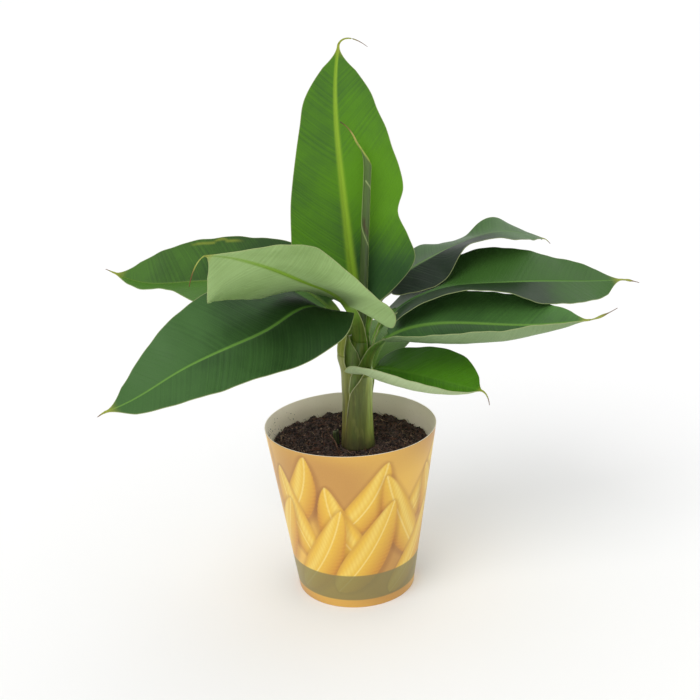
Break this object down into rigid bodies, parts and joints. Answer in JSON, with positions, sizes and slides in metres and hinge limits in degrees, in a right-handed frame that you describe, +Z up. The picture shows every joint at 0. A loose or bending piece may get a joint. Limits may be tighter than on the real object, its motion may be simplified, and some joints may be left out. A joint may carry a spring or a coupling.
{
  "type": "young potted banana plant",
  "caption": "Young banana plant with broad arching leaves round a rolled new leaf, on a short stem in a tapered printed card pot filled with dark soil.",
  "frame": {"origin": "middle of the pot's flat underside", "axes": "+Z up along the plant, +Y away from the side that the picture shows, +X to the right in the picture"},
  "size_m": [0.4278, 0.2317, 0.4313],
  "materials": {
    "pot_card": "satin printed card in warm yellows, plain greyish beige inside",
    "soil": "moist dark peat with reddish fibres",
    "stem": "smooth moist leaf sheaths, yellow-green to olive brown",
    "new_leaf": "satin grey-green rolled leaf with pale edges",
    "leaf_bright": "satin bright green leaf with a yellow-green midrib",
    "leaf_green": "satin dark green upper face, pale grey-green underside, thin pale margin"
  },
  "bodies": {
    "root": {"pot": "pot_card", "soil": "soil", "stem": "stem", "leaf_spear": "new_leaf", "leaf_tall": "leaf_bright", "leaf_front_left_high": "leaf_green", "leaf_front_left_low": "leaf_green", "leaf_right": "leaf_green", "leaf_front_right": "leaf_green", "leaf_front_right_low": "leaf_green", "leaf_back_left": "leaf_green", "leaf_back_right": "leaf_green", "leaf_back_low": "leaf_green"}
  },
  "joints": []
}
